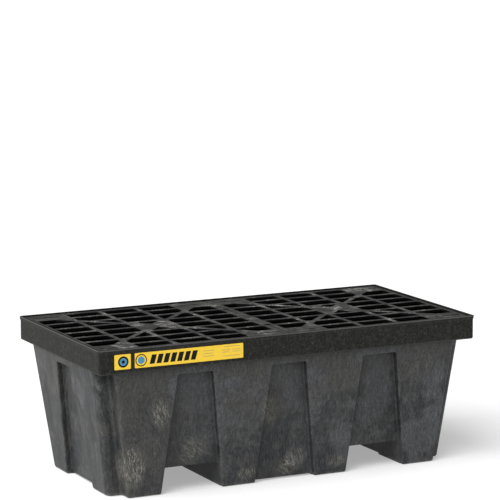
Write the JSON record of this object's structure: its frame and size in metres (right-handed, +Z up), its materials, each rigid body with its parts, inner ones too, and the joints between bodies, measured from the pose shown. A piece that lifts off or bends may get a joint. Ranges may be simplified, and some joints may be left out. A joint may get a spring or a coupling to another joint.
{
  "type": "spill containment pallet",
  "caption": "Low moulded spill containment pallet with a deep tapered sump, fork tunnels and two lift-out deck grates.",
  "frame": {"origin": "on the floor under the centre of the pallet", "axes": "+X along the length, +Y towards the rear, away from the labels, +Z up"},
  "size_m": [1.245, 0.635, 0.457],
  "materials": {
    "sump_plastic": "charcoal recycled polyethylene, fine vertical streaks and pale flow marks, low sheen",
    "grate_plastic": "charcoal recycled polyethylene, deck faces scuffed to a dusty grey",
    "post_plastic": "black extruded polyethylene, satin",
    "label_film": "printed vinyl film in yellow, blue and black, semi-gloss"
  },
  "bodies": {
    "sump": {"sump": "sump_plastic", "seam_post_front": "post_plastic", "seam_post_rear": "post_plastic", "roof_post_left_front": "post_plastic", "roof_post_left_rear": "post_plastic", "roof_post_right_front": "post_plastic", "roof_post_right_rear": "post_plastic", "label_small": "label_film", "label_long": "label_film"},
    "grate_left": {"grate_left": "grate_plastic"},
    "grate_right": {"grate_right": "grate_plastic"}
  },
  "joints": [
    {"name": "grate_left_lift", "type": "slide", "parent": "sump", "child": "grate_left", "axis": [0, 0, 1], "range_m": [0, 0.25]},
    {"name": "grate_right_lift", "type": "slide", "parent": "sump", "child": "grate_right", "axis": [0, 0, 1], "range_m": [0, 0.25]}
  ]
}
